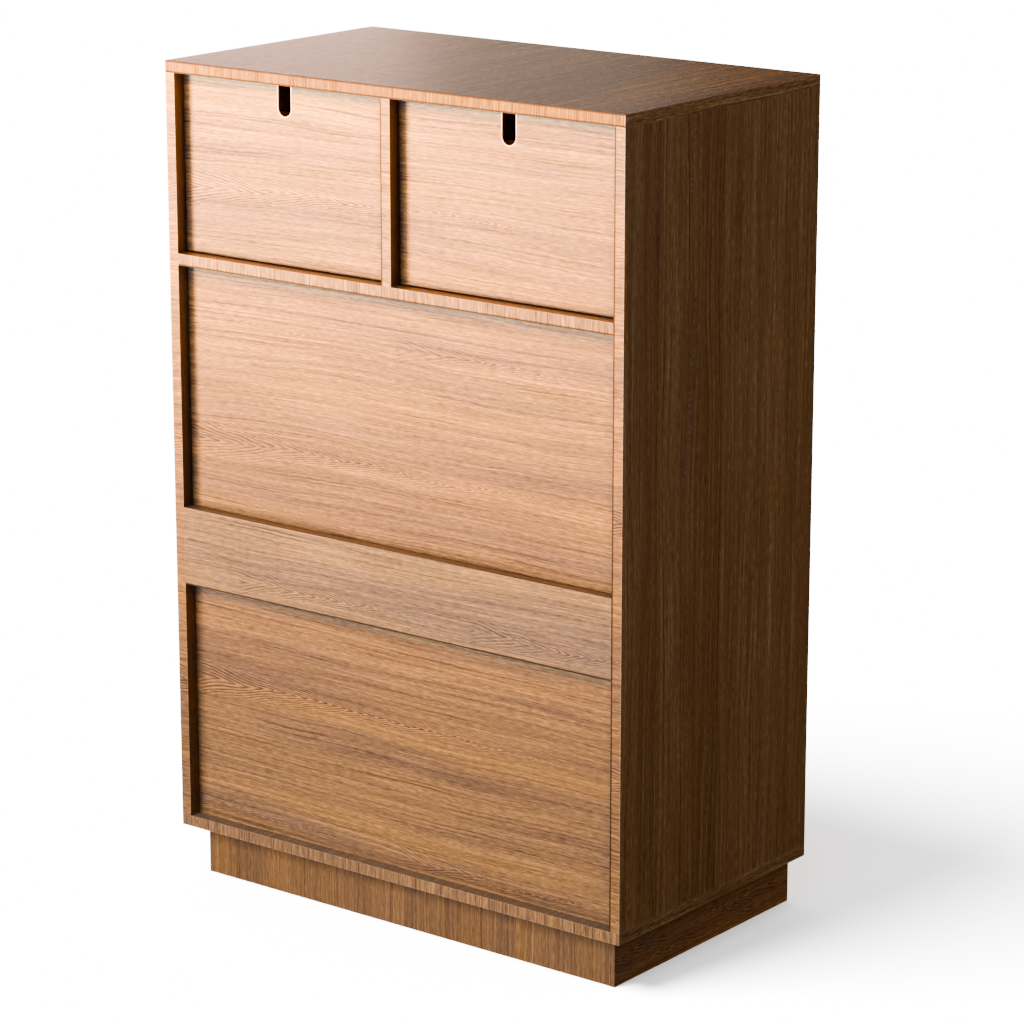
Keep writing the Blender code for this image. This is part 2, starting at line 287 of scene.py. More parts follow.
class Tree:
    """Adds nodes to one node tree, and joins them as their inputs are given."""

    def __init__(self, tree):
        self.tree = tree

    def add(self, kind, inputs=None, **settings):
        node = self.tree.nodes.new(kind)
        node.location = (len(self.tree.nodes) % 12 * 190, -(len(self.tree.nodes) // 12) * 260)
        for name, value in settings.items():
            setattr(node, name, value)
        for key, value in (inputs or {}).items():
            if isinstance(value, Level):
                self.tree.links.new(value.socket, node.inputs[key])
            else:
                node.inputs[key].default_value = value
        return Outputs(self, node)

    def group(self, name, **inputs):
        """The named node group, its inputs given in small letters."""
        return self.add("ShaderNodeGroup", {
            key.replace("_", " ").title(): value for key, value in inputs.items()
        }, node_tree=bpy.data.node_groups[name])

    def math(self, operation, *values):
        return self.add("ShaderNodeMath", dict(enumerate(values)), operation=operation)[0]

    def parts(self, vector):
        """A vector's x, y and z."""
        return self.add("ShaderNodeSeparateXYZ", {0: vector})

    def noise(self, x, y, z, detail=2.0, roughness=0.5):
        place = self.add("ShaderNodeCombineXYZ", {0: x, 1: y, 2: z})[0]
        return self.add("ShaderNodeTexNoise", {
            "Vector": place, "Scale": 1.0, "Detail": detail, "Roughness": roughness})[0]

    def swing(self, x, y, z, reach, detail=2.0, roughness=0.5):
        """Noise about zero that mostly stays within reach."""
        return (self.noise(x, y, z, detail, roughness) - 0.5) * (reach * 4)

    def step(self, value, start, end):
        """0 before start and 1 past end, smooth between them. Start may be the larger."""
        return self.add("ShaderNodeMapRange", {
            "Value": value, "From Min": start, "From Max": end,
        }, interpolation_type="SMOOTHSTEP")[0]

    def toss(self, x, y):
        """A fixed random number for each whole x and y."""
        place = self.add("ShaderNodeCombineXYZ", {0: x, 1: y})[0]
        return self.add("ShaderNodeTexWhiteNoise", {"Vector": place}, noise_dimensions="2D")[0]

    def mix(self, factor, first, second, blend="MIX"):
        """Two colours, each a level or its three parts, blended by factor."""
        pair = [c if isinstance(c, Level) else (*c, 1) for c in (first, second)]
        return self.add("ShaderNodeMix", {0: factor, 6: pair[0], 7: pair[1]},
                        data_type="RGBA", blend_type=blend)[2]


def group_with(name, inputs, outputs):
    """Makes a shader node group, and gives its tree and its inputs by name."""
    group = bpy.data.node_groups.new(name, "ShaderNodeTree")
    for label, default in inputs.items():
        kind = "NodeSocketVector" if default is None else "NodeSocketFloat"
        socket = group.interface.new_socket(name=label, in_out="INPUT", socket_type=kind)
        if default is not None:
            socket.default_value = default
    for label in outputs:
        group.interface.new_socket(name=label, in_out="OUTPUT", socket_type="NodeSocketFloat")
    tree = Tree(group)
    return tree, tree.add("NodeGroupInput")


def growth_lines(t, slid, bent, seed, pitch, bend):
    """Long thin lines side by side, each of its own strength: dark below 0 and pale above."""
    place = bent / pitch + t.swing(slid * 1.1, bent * 24.0, seed + 1.5, bend, 2.0)
    ring = t.math("FLOOR", place)
    part = place - ring
    thin = t.step(part, 0.30, 0.62) * t.step(part, 1.0, 0.80)
    patch = t.step(t.noise(slid * 4.0, bent * 60.0, seed + 8.0), 0.34, 0.62)
    return thin * patch * ((t.toss(ring, seed) - 0.64) * 1.6)


def nested_arches(t, given, slid, bent, seed, lift, size):
    """One row of nested arches in groups that sit a little off each other: long and wide apart at
    the start of a run, short and close towards its end. Gives the lines, dark below 0 and pale
    above, and the mask of the whole row."""
    spacing, length = given["Row Spacing"], given["Arch Run"] * size
    place = (bent - (given["Row Height"] + lift)) / spacing
    row = t.math("ROUND", place)
    off_axis = (place - row) * spacing
    place = (slid - given["Arch Start"]) / length + t.toss(row, seed + 1.0) * given["Row Shift"]
    run = t.math("FLOOR", place)
    gone = place - run
    left = 1.0 - gone
    reach = gone * length
    wander = t.swing(slid * 9.0, row * 7.0, seed, 0.004, 1.0)
    cluster = t.math("FLOOR", gone * 4.6 + gone * gone * 1.8)
    aside = (t.toss(cluster, row + seed + 3.0) - 0.5) * 0.010
    off_axis = off_axis + wander + aside * t.math("MINIMUM", cluster, 1.0)
    rounded = t.math("SQRT", off_axis * off_axis + 0.0000016)
    growth = reach * (0.264 / size)
    slope = 0.216 + growth
    ring = (rounded * (slope + growth) * 6.25 + reach * slope) / given["Arch Pitch"]
    jagged = t.swing(slid * 26.0, bent * 120.0, seed, 0.45, 2.0, 0.65)
    smooth = t.swing(slid * 7.0, bent * 40.0, seed, 0.40, 1.0)
    ring = ring + jagged * (0.12 + gone) + smooth + cluster * 0.37
    nearness = t.math("ABSOLUTE", off_axis) / (left * left * given["Arch Width"] * size + 0.0065)
    mask = t.step(nearness, 1.35, 0.5) * t.step(gone, 0.0, 0.03) * t.step(gone, 1.0, 0.55)
    mask = mask * (0.60 + t.toss(run, row + seed) * 0.40)
    patchy = t.step(t.noise(slid * 16.0, bent * 60.0, seed + 6.0), 0.28, 0.54)
    mask = mask * (0.45 + patchy * 0.55) * given["Arches"]
    count = t.math("FLOOR", ring)
    part = ring - count
    dark = t.step(part, 0.50, 0.78) * t.step(part, 1.0, 0.88)
    dark = dark * (0.45 + t.toss(count, seed) * 0.55) * -0.74
    pale = t.step(part, 0.0, 0.14) * t.step(part, 0.44, 0.22) * (0.24 + gone * 0.6)
    return mask * (dark + pale), mask


def veneer_figure_group():
    """Straight grain with rows of nested arches, from a map in metres that runs along the grain."""
    t, given = group_with("veneer_figure", {
        "Grain": None, "Seed": 0.0, "Leaf Width": 9.0, "Leaf Contrast": 0.0,
        "Row Spacing": 0.4, "Row Height": 0.0, "Row Shift": 0.0, "Arch Run": 0.86,
        "Arch Start": 0.0, "Arch Width": 0.026, "Arch Pitch": 0.0082, "Arches": 1.0,
        "Streaks": 1.0, "Bands": 1.0,
    }, ("Tone", "Warmth", "Fleck", "Height"))
    along, across, _ = t.parts(given["Grain"])
    seed, strength = given["Seed"], given["Streaks"]
    leaf_toss = t.toss(t.math("FLOOR", across / given["Leaf Width"]), seed)
    slid = along + leaf_toss * 5.0
    drift = t.swing(slid * 1.5, across * 6.0, seed, 0.010, 1.0)
    ripple = t.swing(slid * 7.0, across * 28.0, seed, 0.0016, 1.0)
    bent = across + drift + ripple
    bands = t.swing(slid * 1.1, bent * 17.0, seed, 0.62, 3.0, 0.6)
    streaks = t.swing(slid * 3.2, bent * 190.0, seed, 0.29, 2.0, 0.8)
    fibres = t.swing(slid * 60.0, bent * 430.0, seed, 0.26, 1.0, 0.7)
    line = (growth_lines(t, slid, bent, seed, 0.0052, 0.9)
            + growth_lines(t, slid, bent, seed + 40.0, 0.0031, 1.2) * 0.8)
    large, large_mask = nested_arches(t, given, slid, bent, seed, 0.0, 1.0)
    small, small_mask = nested_arches(t, given, slid, bent, seed + 60.0, 0.190, 0.55)
    arch = large + small * 0.7
    mask = t.math("MAXIMUM", large_mask, small_mask * 0.7)
    calm = 1.0 - mask * 0.6
    tone = (0.5 + bands * given["Bands"] * 0.05 + streaks * strength * calm + fibres * strength
            + line * strength * calm * 0.36 + arch + (leaf_toss - 0.5) * given["Leaf Contrast"])
    fleck = t.step(t.noise(slid * 26.0, bent * 520.0, seed + 2.0), 0.70, 0.78)
    gather = t.step(t.noise(slid * 1.5, bent * 22.0, seed + 7.0), 0.50, 0.62)
    t.add("NodeGroupOutput", {
        "Tone": tone, "Warmth": 0.5 + bands * given["Bands"] + mask * -0.28,
        "Fleck": fleck * gather, "Height": streaks * 0.7 + fibres + line * 0.3 + arch * 0.6})


def recess_shade_group():
    """Masks of painted shade on a back panel: Hood under each board above it and beside the boards
    on its left, Nook beside those on its right, and Foot over each board below it. Rim is a
    painted highlight, a pale ring round the edge of a slot."""
    t, given = group_with("recess_shade", {"Place": None}, ("Hood", "Nook", "Foot", "Rim"))
    x, _, height = t.parts(given["Place"])
    along = x * -1.0
    boards = [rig.box(name) for name in ("top_panel", "upper_shelf", "back_rail", "bottom_panel")]
    far_below = 9.0  # added to a distance from the divider, which ends at the shelf
    lower = (1.0 - t.step(height, boards[1][0].z, boards[1][1].z)) * far_below
    gaps = [(low.z - height, 0.032, 1.0) for low, _ in boards[:3]]
    gaps.append((-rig.box("side_panel_left")[1].x - along, 0.036, 0.5))
    gaps.append((-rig.box("centre_divider")[1].x - along + lower, 0.036, 0.5))
    hood = foot = 0.0
    for gap, fade, strength in gaps:
        soft = t.step(gap, fade, 0.0) * t.step(gap, -0.003, -0.002) * strength
        hood = t.math("MAXIMUM", hood, soft)
    for _, high in boards[1:]:
        gap = height - high.z
        foot = t.math("MAXIMUM", foot, t.step(gap, 0.018, 0.006) * t.step(gap, 0.0, 0.005))
    from_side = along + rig.box("side_panel_right")[0].x
    from_divider = t.math("ABSOLUTE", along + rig.box("centre_divider")[0].x + lower)
    nook = t.step(t.math("MINIMUM", from_side, from_divider), 0.026, 0.0)
    low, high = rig.box("back_panel_upper_left")
    radius = SLOT_WIDTH / 2
    round_z = boards[0][0].z - SLOT_DEPTH + radius
    aside = t.math("ABSOLUTE", along) - abs(low.x + high.x) / 2
    below = t.math("MAXIMUM", round_z - height, 0.0)
    off_slot = t.math("SQRT", aside * aside + below * below)
    by_slot = t.step(height, round_z - SLOT_WIDTH, round_z - SLOT_WIDTH * 0.8)
    rim = t.step(off_slot, radius + 0.0024, radius + 0.0014) * by_slot
    t.add("NodeGroupOutput", {"Hood": hood, "Nook": nook, "Foot": foot, "Rim": rim})


def height_shade_group(name, start, end):
    """A mask of the places that shade darkens, from none at one height to full at another."""
    t, given = group_with(name, {"Place": None}, ("Shade",))
    _, _, height = t.parts(given["Place"])
    t.add("NodeGroupOutput", {"Shade": t.step(height, start, end)})


def edge_wear_and_shadow_line_group():
    """Masks near a face's borders: rubbed edges, and the fine dark line beside a recess, a painted shadow."""
    t, given = group_with("edge_wear_and_shadow_line", {
        "Grain": None, "Rub Width": 0.0016, "Line Width": 0.0036}, ("Rub", "Line"))
    rim = t.add("ShaderNodeAttribute", attribute_name="rim")
    near = rim["Alpha"]
    for border in t.add("ShaderNodeSeparateColor", {0: rim["Color"]}):
        near = t.math("MINIMUM", near, border)
    along, across, _ = t.parts(given["Grain"])
    ragged = t.swing(along * 45.0, across * 45.0, 0.0, 0.0006, 2.0)
    line = t.add("ShaderNodeAttribute", attribute_name="line")["Fac"]
    t.add("NodeGroupOutput", {
        "Rub": t.step(near + ragged, given["Rub Width"], 0.0),
        "Line": t.step(line, given["Line Width"], given["Line Width"] * 0.45)})


def ply_layers_group():
    """Long and end grain in turn across a plywood edge; the map's second axis is the thickness."""
    t, given = group_with("ply_layers", {"Grain": None, "Layer": 0.00145}, ("Tone", "Glue"))
    along, across, _ = t.parts(given["Grain"])
    waved = across + t.swing(along * 20.0, 0.0, 0.0, 0.00008, 1.0)
    place = waved / given["Layer"]
    part = t.math("FRACT", place)
    end_grain = t.math("MODULO", t.math("FLOOR", place), 2.0)
    speckle = t.swing(along * 900.0, waved * 2600.0, 0.0, 0.16, 2.0, 0.7)
    strands = t.swing(along * 30.0, waved * 2400.0, 5.0, 0.10, 2.0)
    t.add("NodeGroupOutput", {
        "Tone": 0.70 + end_grain * -0.34 + end_grain * speckle + strands,
        "Glue": t.step(t.math("MINIMUM", part, 1.0 - part), 0.12, 0.02)})


# Materials

def cleared(holder):
    """The tree of a material or a world, emptied."""
    holder.use_nodes = True
    holder.node_tree.nodes.clear()
    return Tree(holder.node_tree)


def wood(name, **values):
    """A new material's tree, its grain map, its figure with the given values, and its wear."""
    t = cleared(bpy.data.materials.new(name))
    grain = t.add("ShaderNodeUVMap", uv_map="grain")[0]
    drawn = t.group("veneer_figure", grain=grain, **values)
    return t, grain, drawn, t.group("edge_wear_and_shadow_line", grain=grain)


def shade(t, colour, height, bump, roughness, others=()):
    """Joins what varies, and the other inputs by name, to the material's Principled shader."""
    normal = t.add("ShaderNodeBump", {"Strength": 0.5, "Distance": bump, "Height": height})[0]
    shader = t.add("ShaderNodeBsdfPrincipled", {
        "Base Color": colour, "Roughness": roughness, "Normal": normal, **dict(others)})[0]
    t.add("ShaderNodeOutputMaterial", {"Surface": shader})


def tinted(colour, parts):
    """A colour whose red, green and blue are each multiplied."""
    return [c * part for c, part in zip(colour, parts)]


def veneer(name, seed, fleck=0.25, tint=(1, 1, 1), spread=(1, 1, 1), gloss=0.32, rub=0.12,
           shades=None, **values):
    """A satin veneer whose figure takes the given values. tint multiplies the veneer's colours,
    spread sets its dark and light strokes further apart, and shades is a group of masks with the
    colour that the veneer is multiplied by in each."""
    finish = bpy.context.scene.dresser_finish
    t, _, drawn, edges = wood(name, seed=seed, **values)
    ramp = t.add("ShaderNodeValToRGB", {0: drawn["Tone"]})
    stops = ((0.0, finish.deep, -1), (0.5, finish.brown, 0), (1.0, finish.honey, 1))
    elements = ramp.node.color_ramp.elements
    elements.new(0.5)
    for element, (place, stroke, power) in zip(elements, stops):
        element.position = place
        element.color = (*tinted(tinted(stroke, tint), [wide ** power for wide in spread]), 1)
    warm = t.mix(drawn["Warmth"], finish.plum, finish.amber)
    colour = t.mix(1.0, ramp[0], warm, "MULTIPLY")
    colour = t.mix(drawn["Fleck"] * fleck, colour, [min(1, c * 1.5) for c in finish.honey])
    colour = t.mix(edges["Rub"] * rub, colour, finish.worn_and_glint)
    # painted shadow: the fine dark line beside a recess
    colour = t.mix(edges["Line"] * 0.90, colour, SHADOW)
    # painted shade: each mask multiplies the veneer darker where shade would fall
    if shades:
        group, parts = shades
        masks = t.group(group, place=t.add("ShaderNodeTexCoord")["Object"])
        for mask, part in parts.items():
            colour = t.mix(masks[mask], colour, t.mix(1.0, colour, part, "MULTIPLY"))
        # painted highlight: a pale ring round each slot's edge, in the pale rubbed-edge colour
        if "Rim" in masks.node.outputs:
            colour = t.mix(masks["Rim"], colour, finish.worn_and_glint)
    rough = 0.46 + drawn["Height"] * 0.10 + edges["Rub"] * -0.05
    shade(t, colour, drawn["Height"], 0.0004, rough, {
        "Specular IOR Level": gloss, "Coat Weight": gloss * 0.25, "Coat Roughness": 0.34})


def ply_face(name):
    """Rotary-cut birch: pale, with broad soft figure."""
    birch = bpy.context.scene.dresser_finish.birch
    t, _, drawn, edges = wood(
        name, seed=31.0, row_spacing=0.17, row_shift=1.0, arch_run=0.33, arch_width=0.06,
        arch_pitch=0.0105, arches=0.5, streaks=0.45)
    deep = tinted(birch, (0.80, 0.70, 0.58))
    colour = t.mix(t.step(drawn["Tone"], 0.15, 0.85), deep, birch)
    colour = t.mix(edges["Rub"] * 0.3, colour, deep)
    shade(t, colour, drawn["Height"], 0.00025, 0.48 + drawn["Height"] * 0.12)


def ply_edge(name, darkening=1.0):
    """The sanded edge of birch plywood, with its layers. Its colours are multiplied by the given
    factor, which near 0 paints the edge near black as painted shade.
    """
    birch = tinted(bpy.context.scene.dresser_finish.birch, [darkening] * 3)
    t = cleared(bpy.data.materials.new(name))
    drawn = t.group("ply_layers", grain=t.add("ShaderNodeUVMap", uv_map="grain")[0])
    colour = t.mix(drawn["Tone"], tinted(birch, (0.42, 0.31, 0.22)), birch)
    colour = t.mix(drawn["Glue"] * 0.5, colour, GLUE)
    shade(t, colour, drawn["Glue"] * -1.0, 0.0002, 0.58 + drawn["Tone"] * -0.10)


def beech_wood(name):
    """Waxed beech with its short dark rays."""
    beech = bpy.context.scene.dresser_finish.beech
    t, grain, drawn, edges = wood(name, seed=57.0, arches=0.0, streaks=0.8, bands=0.7)
    along, across, _ = t.parts(grain)
    rays = t.step(t.noise(along * 330.0, across * 1500.0, 3.0, 1.0), 0.64, 0.74)
    deep = tinted(beech, (0.62, 0.50, 0.42))
    colour = t.mix(t.step(drawn["Tone"], 0.1, 0.9), deep, beech)
    colour = t.mix(rays * 0.45, colour, RAY)
    colour = t.mix(edges["Rub"] * 0.35, colour, tinted(beech, [1.25] * 3))
    shade(t, colour, drawn["Height"], 0.0003, 0.44 + drawn["Height"] * 0.15)


def zinc(name):
    """Yellow-passivated screw steel with fine turning marks."""
    t = cleared(bpy.data.materials.new(name))
    place = t.add("ShaderNodeTexCoord")["Object"]
    grime = t.add("ShaderNodeTexNoise", {"Vector": place, "Scale": 900.0, "Detail": 3.0})[0]
    colour = t.mix(grime, (0.52, 0.43, 0.25), (0.78, 0.70, 0.50))
    shade(t, colour, grime, 0.00005, 0.24 + grime * 0.25, {"Metallic": 1.0})


def make_materials():
    """Every finish on the dresser."""
    finish = bpy.context.scene.dresser_finish
    veneer_figure_group()
    edge_wear_and_shadow_line_group()
    ply_layers_group()
    recess_shade_group()
    # painted shade on the back panels: under and beside the boards round each recess, and over the boards below
    recess = ("recess_shade", {
        "Hood": (0.23, 0.52, 1.05), "Nook": (0.46, 0.50, 0.54), "Foot": (0.62, 0.66, 0.74)})
    rail_low, rail_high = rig.box("back_rail")
    height_shade_group("wall_shade", rail_low.z, rail_high.z)
    plinth_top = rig.box("plinth_back")[1].z
    height_shade_group("plinth_shade", plinth_top - 0.036, plinth_top - 0.010)
    rows = {"row_spacing": finish.row_spacing, "row_height": finish.row_height,
            "arch_run": finish.arch_run, "arch_start": -0.435, "gloss": 0.05,
            "spread": (1.12, 1.0, 0.86)}
    short = {"arches": 0.0, "streaks": 1.1, "bands": 0.5}
    leaves = {"row_spacing": 0.6, "row_height": 0.079, "row_shift": 3.0, "arch_run": 0.46,
              "arch_width": 0.006, "arch_pitch": 0.0034, "leaf_width": 0.0525,
              "leaf_contrast": 0.18, "streaks": 0.72, "bands": 0.25, "arches": 0.8}
    side = {"tint": (0.89, 1.09, 1.28), "spread": (1.0, 1.32, 2.2)}
    plinth = {"tint": (0.87, 0.98, 1.14), "shades": ("plinth_shade", {"Shade": (0.50, 0.50, 0.54)})}
    veneer("back_veneer", 0.0, tint=(1.19, 1.38, 1.76), shades=recess, **rows)
    veneer("rail_veneer", 2.0, tint=(1.08, 1.43, 2.24), rub=0.15, **rows)
    veneer("member_veneer", 2.0, tint=(1.19, 1.34, 1.68), rub=0.15, **rows)
    veneer("top_veneer", 11.0, fleck=0.9, tint=(1.32, 1.33, 0.92), spread=(1.0, 1.15, 1.4),
           arches=0.0, streaks=2.4, bands=0.5, leaf_width=0.15, leaf_contrast=0.16)
    veneer("top_edge", 12.0, tint=(0.78, 0.82, 0.74), gloss=0.05, **short)
    veneer("upright_veneer", 5.0, fleck=0.1, **side, **leaves)
    # the side panels' inner walls: the upright veneer recoloured for their shade, with painted shade over the upper
    # bay
    veneer("wall_veneer", 6.0, fleck=0.1, tint=(0.70, 1.00, 1.30),
           shades=("wall_shade", {"Shade": (0.38, 0.50, 0.80)}), **leaves)
    veneer("inner_veneer", 8.0, tint=(1.16, 2.10, 4.2), streaks=0.6, bands=0.4,
           row_spacing=0.2, row_shift=1.0, arches=0.4)
    veneer("plinth_veneer", 13.0, row_spacing=0.07, arch_run=0.3, row_height=0.045,
           arch_width=0.012, arches=0.8, **plinth)
    veneer("front_veneer", 21.0, tint=(0.98, 1.20, 1.60), gloss=0.15, arch_start=-0.40,
           row_spacing=0.158, row_height=0.245, row_shift=0.5, arch_run=0.62)
    veneer("edge_veneer", 3.0, tint=(1.12, 1.34, 1.84), gloss=0.05, rub=0.1,
           spread=(1.12, 1.0, 0.9), **short)
    veneer("upright_edge", 9.0, **side, **short)
    veneer("plinth_edge", 4.0, arches=0.0, streaks=0.8, bands=0.6, leaf_width=0.075,
           leaf_contrast=0.10, **plinth)
    ply_face("birch_face")
    ply_edge("birch_edge")
    # edges painted near black: painted shade for the small drawers' backs behind the slots
    ply_edge("painted_shade_edge", darkening=0.06)
    beech_wood("waxed_beech")
    zinc("screw_steel")


def finish_named(name):
    """The material of that name. The finishes are made when the first piece needs one."""
    if name not in bpy.data.materials:
        make_materials()
    return bpy.data.materials[name]


# Pieces dressed from the frame's solids

def new_object(name, data):
    """An object with that data, in the scene."""
    made = bpy.data.objects.new(name, data)
    bpy.context.collection.objects.link(made)
    return made


def apply_modifiers(piece):
    """Gives a piece the mesh that its modifiers make."""
    evaluated = piece.evaluated_get(bpy.context.evaluated_depsgraph_get())
    mesh = bpy.data.meshes.new_from_object(evaluated)
    piece.modifiers.clear()
    piece.data = mesh


def board_copy(node, cuts=()):
    """A copy of a CAD node's mesh with its loose triangles merged into whole faces."""
    mesh = bpy.data.meshes.new(node)
    bm = bmesh.new()
    bm.from_mesh(frame["nodes"][node].data)
    bmesh.ops.remove_doubles(bm, verts=bm.verts, dist=1e-5)
    bmesh.ops.dissolve_limit(bm, angle_limit=math.radians(1), verts=bm.verts, edges=bm.edges)
    for axis, place in cuts:
        point, normal = Vector(), Vector()
        point[axis], normal[axis] = place, 1
        bmesh.ops.bisect_plane(bm, geom=bm.verts[:] + bm.edges[:] + bm.faces[:],
                               plane_co=point, plane_no=normal)
    bm.to_mesh(mesh)
    bm.free()
    return mesh


def weigh_edges(mesh, eased, case_only):
    """Marks how far each sharp edge is eased. With case_only, only the carcass's own outer edges
    take the full ease, and the rest a joint's."""
    finish = bpy.context.scene.dresser_finish
    low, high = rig.box("bottom_panel")[0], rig.box("top_panel")[1]
    weights = mesh.attributes.new("bevel_weight_edge", "FLOAT", "EDGE")
    faces = {}
    for polygon in mesh.polygons:
        for key in polygon.edge_keys:
            faces.setdefault(key, []).append(polygon.normal)
    for edge in mesh.edges:
        normals = faces.get(edge.key, [])
        if len(normals) != 2 or normals[0].dot(normals[1]) > math.cos(SHARP):
            continue
        ends = [mesh.vertices[i].co for i in edge.vertices]
        outer = sum(all(abs(end[axis] - limit[axis]) < TOUCH for end in ends)
                    for axis in range(3) for limit in (low, high))
        full = not case_only or outer >= 2
        weights.data[edge.index].value = 1.0 if full else finish.joint_round / eased


def ease_edges(piece, width):
    """Rounds the marked edges, and gives the flat faces flat shading across the rounds."""
    bevel = piece.modifiers.new("ease", "BEVEL")
    bevel.width, bevel.segments, bevel.limit_method = width, 2, "WEIGHT"
    bevel.use_clamp_overlap = True
    piece.modifiers.new("flats", "WEIGHTED_NORMAL").keep_sharp = False
    apply_modifiers(piece)


def lay_grain(mesh, node, grain, flip, shift, lines, edge_normals, last, cuts):
    """Writes the grain map in metres, each corner's distance to its face's four borders, and its
    distance to a shadow line. A border that a cut made isn't an edge, so it counts as far away.
    Faces that look along an axis in edge_normals take the edge finish, and those that look along
    an axis and sign in last take the last finish."""
    low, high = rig.box(node)
    mesh.uv_layers.new(name="grain")
    mesh.attributes.new("rim", "FLOAT_COLOR", "CORNER")
    mesh.attributes.new("line", "FLOAT", "CORNER")
    uv, rim, line = mesh.uv_layers["grain"], mesh.attributes["rim"], mesh.attributes["line"]
    thickness = ({X, Y, Z} - set(edge_normals)).pop()
    for polygon in mesh.polygons:
        size = [abs(c) for c in polygon.normal]
        facing = size.index(max(size))
        along = grain[facing]
        across = 3 - facing - along
        flat = max(size) > 0.9995
        edge_on = facing in edge_normals
        polygon.material_index = int(edge_on)
        if any(polygon.normal[axis] * sign > 0.9 for axis, sign in last):
            polygon.material_index = len(mesh.materials) - 1
        corners = [mesh.vertices[mesh.loops[i].vertex_index].co for i in polygon.loop_indices]
        bounds = [(min(c[a] for c in corners), max(c[a] for c in corners)) for a in (along, across)]
        sides = [(axis, sign) for face, way, axis, sign in lines
                 if polygon.normal[face] * way > 0.3
                 and (flat or polygon.normal[axis] * sign > 0.3)]
        for index, corner in zip(polygon.loop_indices, corners):
            u = (-corner[along] if flip else corner[along]) + (0 if edge_on else shift[0])
            v = corner[across] + (0 if edge_on else shift[1])
            if edge_on and shift[2]:
                u, v = corner[3 - facing - thickness], corner[thickness] - low[thickness]
            uv.data[index].uv = (u, v)
            gaps = [0.0] * 4
            if flat:
                gaps = [AWAY if any(axis == a and abs(place - b[end]) < TOUCH
                                    for axis, place in cuts) else abs(corner[a] - b[end])
                        for end in (0, 1) for a, b in zip((along, across), bounds)]
            rim.data[index].color = gaps
            near = [abs(corner[axis] - (high if sign > 0 else low)[axis]) for axis, sign in sides]
            line.data[index].value = min(near, default=AWAY)


def dress(node, body, slot, finishes, grain, width=None, case_only=False, flip=False,
          shift=(0, 0), lines=(), cuts=(), layered=False, last=()):
    """One piece that stands for a CAD node: same shape, eased edges, grain map and finishes.

    grain gives the axis the grain runs along on faces that look along X, Y and Z. finishes is the
    finish of the wide faces and of the edges, and a third one for the faces named in last. lines
    names borders with a dark line: the axis and sign that the face looks along, then those of the
    border. cuts part a face at an axis and place. layered turns an edge's map across its layers."""
    eased = width or bpy.context.scene.dresser_finish.outer_round
    piece = new_object(node + "_dressed", board_copy(node, cuts))
    for polygon in piece.data.polygons:
        polygon.use_smooth = True
    weigh_edges(piece.data, eased, case_only)
    ease_edges(piece, eased)
    low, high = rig.box(node)
    spans = [high[axis] - low[axis] for axis in range(3)]
    thin = spans.index(min(spans))
    edge_normals = [axis for axis in range(3) if axis != thin]
    for finish in finishes:
        piece.data.materials.append(finish_named(finish))
    lay_grain(piece.data, node, grain, flip, (*shift, layered), lines, edge_normals, last, cuts)
    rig.ride(piece, body)
    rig.replaces(piece, node)
    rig.slot(piece, slot)
    return piece


class DRESSER_OT_case(bpy.types.Operator):
    """Dress the carcass boards: top, bottom, sides, shelf, divider and front rails"""

    bl_idname = "dresser.case"
    bl_label = "Carcass Boards"

    def execute(self, context):
        left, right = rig.box("side_panel_left")[1].x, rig.box("side_panel_right")[0].x
        case = {"body": "carcass", "case_only": True}
        low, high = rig.box("top_panel")
        upright = ("upright_veneer", "member_veneer", "wall_veneer")
        dress("top_panel", slot="veneer_top", finishes=("top_veneer", "top_edge", "upright_edge"),
              last=[(X, 1), (X, -1)], grain=(Y, Z, Y), lines=[(Y, 1, Z, -1), (Y, 1, Z, 1)],
              cuts=[(X, left), (X, right), (Z, (low.z + high.z) / 2)], **case)
        dress("bottom_panel", slot="veneer_upright", last=[(X, 1), (X, -1)], grain=(Y, Z, Y),
              finishes=("inner_veneer", "edge_veneer", "upright_edge"), **case)
        dress("side_panel_left", slot="veneer_upright", finishes=upright, last=[(X, 1)],
              grain=(Z, X, Y), lines=[(Y, 1, X, 1)], flip=True, **case)
        dress("side_panel_right", slot="veneer_upright", finishes=upright, last=[(X, -1)],
              grain=(Z, X, Y), shift=(0.31, 0.73), flip=True, **case)
        dress("centre_divider", slot="veneer_upright", finishes=upright[::-1], grain=(Z, X, Y),
              lines=[(Y, 1, X, 1)], shift=(0.9, 0.2), **case)
        dress("upper_shelf", slot="veneer_upright", finishes=("inner_veneer", "edge_veneer"),
              grain=(Y, Z, X), lines=[(Y, 1, Z, -1)], shift=(0.0, 0.4), **case)
        for step, node in enumerate(("front_rail_under_top_drawer",
                                     "front_rail_under_middle_drawer")):
            dress(node, slot="veneer_upright", finishes=("inner_veneer", "edge_veneer"),
                  grain=(Y, X, X), shift=(0.2 * step, 0.3 + step), **case)
        return {"FINISHED"}


class DRESSER_OT_back(bpy.types.Operator):
    """Dress the back: the thin panels in their grooves and the wide rail"""

    bl_idname = "dresser.back"
    bl_label = "Back Panels and Rail"

    def execute(self, context):
        for node in ("back_panel_main", "back_panel_upper_left", "back_panel_upper_right"):
            dress(node, "carcass", "veneer_back", ("back_veneer", "edge_veneer"), (Y, X, X),
                  width=0.0012, flip=True)
        dress("back_rail", "carcass", "veneer_back", ("rail_veneer", "inner_veneer"), (Y, X, X),
              width=0.0004, flip=True, lines=[(Y, 1, Z, -1)], case_only=True)
        return {"FINISHED"}


